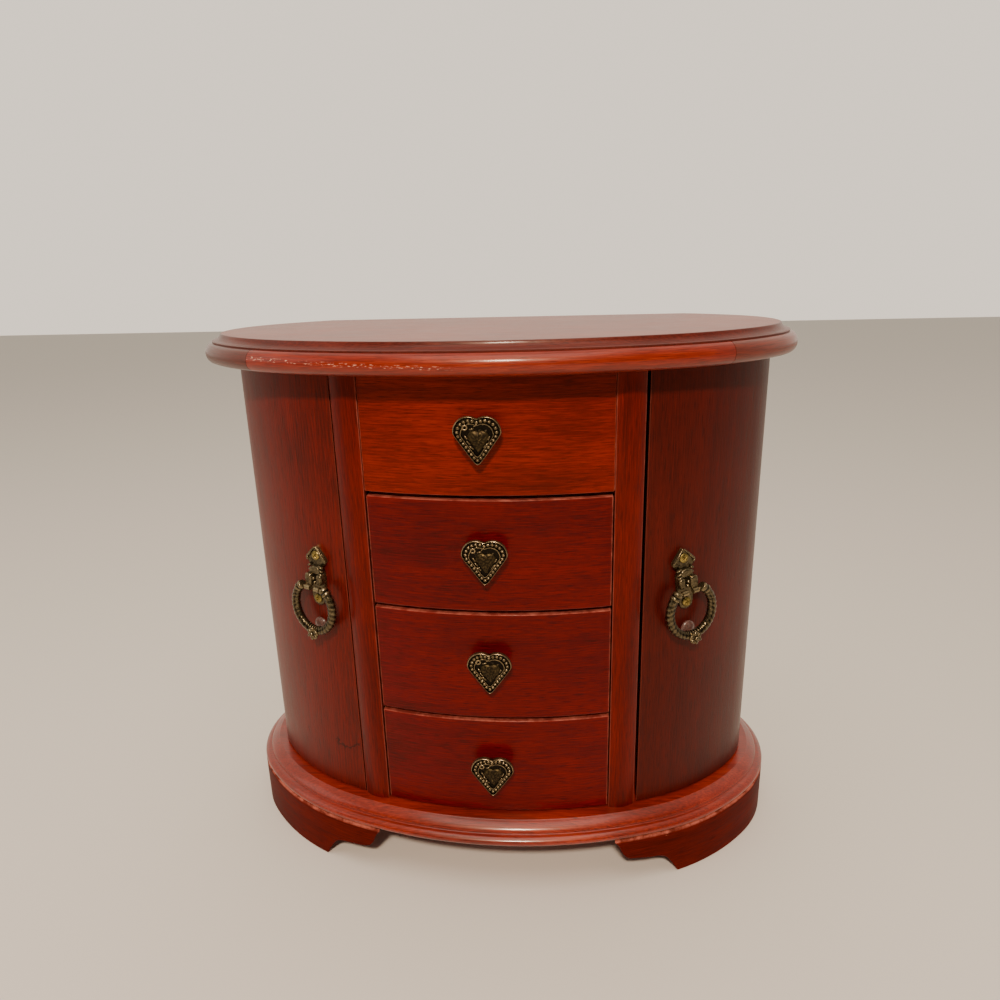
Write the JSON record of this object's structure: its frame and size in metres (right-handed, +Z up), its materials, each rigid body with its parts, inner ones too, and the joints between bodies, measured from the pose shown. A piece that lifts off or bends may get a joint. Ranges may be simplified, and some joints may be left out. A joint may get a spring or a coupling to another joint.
{
  "type": "jewelry armoire",
  "caption": "Oval table-top jewelry armoire: lift-up lid over a lined tray, curved side doors with ring pulls for necklaces, bow-front drawers with heart knobs, bracket feet.",
  "frame": {"origin": "middle of the whole model's box, on the table under the feet", "axes": "+X to the right seen from the front, +Y to the flat back, +Z up"},
  "size_m": [0.3284, 0.172, 0.3],
  "materials": {
    "cherry_lacquer": "red cherry stain under satin lacquer",
    "plain_wood": "stained, thin matt varnish",
    "antique_brass": "cast, blackened and rubbed on the high spots",
    "bright_brass": "plated, worn",
    "zinc_screw": "zinc plated",
    "wine_velvet": "short pile velvet",
    "mirror_glass": "silvered glass",
    "clear_bumper": "soft clear resin dot",
    "catch_housing": "moulded"
  },
  "bodies": {
    "case": {"base_board": "cherry_lacquer", "foot_left": "cherry_lacquer", "foot_right": "cherry_lacquer", "back_panel": "cherry_lacquer", "partition_left": "plain_wood", "partition_right": "plain_wood", "pillar_left": "cherry_lacquer", "pillar_right": "cherry_lacquer", "rear_post_left": "cherry_lacquer", "rear_post_right": "cherry_lacquer", "false_front": "cherry_lacquer", "tray_floor": "plain_wood", "drawer_dividers": "plain_wood", "bay_tops": "cherry_lacquer", "tray_lining": "wine_velvet", "tray_divider": "wine_velvet", "ring_rolls": "wine_velvet", "false_front_knob": "antique_brass", "false_front_knob_screw": "zinc_screw", "hinge_case_leaves": "bright_brass", "hinge_pins": "bright_brass", "door_catches": "catch_housing"},
    "lid": {"lid_top": "cherry_lacquer", "lid_rim_front": "cherry_lacquer", "lid_rim_left": "cherry_lacquer", "lid_rim_right": "cherry_lacquer", "lid_rim_back": "cherry_lacquer", "lid_mirror": "mirror_glass", "lid_hinge_lid_leaves": "bright_brass"},
    "left_door": {"door_left": "cherry_lacquer", "door_left_hinge_leaves": "bright_brass", "door_left_hooks": "bright_brass", "door_left_pouch": "wine_velvet", "door_left_pull_plate": "antique_brass", "door_left_pull_screws": "bright_brass", "door_left_bumper": "clear_bumper"},
    "right_door": {"door_right": "cherry_lacquer", "door_right_hinge_leaves": "bright_brass", "door_right_hooks": "bright_brass", "door_right_pouch": "wine_velvet", "door_right_pull_plate": "antique_brass", "door_right_pull_screws": "bright_brass", "door_right_bumper": "clear_bumper"},
    "left_ring": {"ring_left": "antique_brass"},
    "right_ring": {"ring_right": "antique_brass"},
    "lower_drawer": {"lower_drawer_front": "cherry_lacquer", "lower_drawer_box": "plain_wood", "lower_drawer_lining": "wine_velvet", "lower_drawer_knob": "antique_brass", "lower_drawer_knob_screw": "zinc_screw"},
    "middle_drawer": {"middle_drawer_front": "cherry_lacquer", "middle_drawer_box": "plain_wood", "middle_drawer_lining": "wine_velvet", "middle_drawer_knob": "antique_brass", "middle_drawer_knob_screw": "zinc_screw"},
    "upper_drawer": {"upper_drawer_front": "cherry_lacquer", "upper_drawer_box": "plain_wood", "upper_drawer_lining": "wine_velvet", "upper_drawer_knob": "antique_brass", "upper_drawer_knob_screw": "zinc_screw"}
  },
  "joints": [
    {"name": "lid_hinge", "type": "hinge", "parent": "case", "child": "lid", "pos_m": [-0.0011, 0.084, 0.28445], "axis": [-1, 0, 0], "range_deg": [0, 95]},
    {"name": "left_door_hinge", "type": "hinge", "parent": "case", "child": "left_door", "pos_m": [-0.14092, 0.04669, 0.16], "axis": [0, 0, -1], "range_deg": [0, 100]},
    {"name": "right_door_hinge", "type": "hinge", "parent": "case", "child": "right_door", "pos_m": [0.14272, 0.04669, 0.16], "axis": [0, 0, 1], "range_deg": [0, 100]},
    {"name": "left_ring_swing", "type": "hinge", "parent": "left_door", "child": "left_ring", "pos_m": [-0.09568, -0.0537, 0.169], "axis": [-0.9082, 0.4158, 0.0471], "range_deg": [0, 100]},
    {"name": "right_ring_swing", "type": "hinge", "parent": "right_door", "child": "right_ring", "pos_m": [0.10317, -0.05091, 0.169], "axis": [-0.88, -0.4581, -0.1253], "range_deg": [0, 100]},
    {"name": "lower_drawer_slide", "type": "slide", "parent": "case", "child": "lower_drawer", "axis": [0, -1, 0], "range_m": [0, 0.09]},
    {"name": "middle_drawer_slide", "type": "slide", "parent": "case", "child": "middle_drawer", "axis": [0, -1, 0], "range_m": [0, 0.09]},
    {"name": "upper_drawer_slide", "type": "slide", "parent": "case", "child": "upper_drawer", "axis": [0, -1, 0], "range_m": [0, 0.09]}
  ]
}
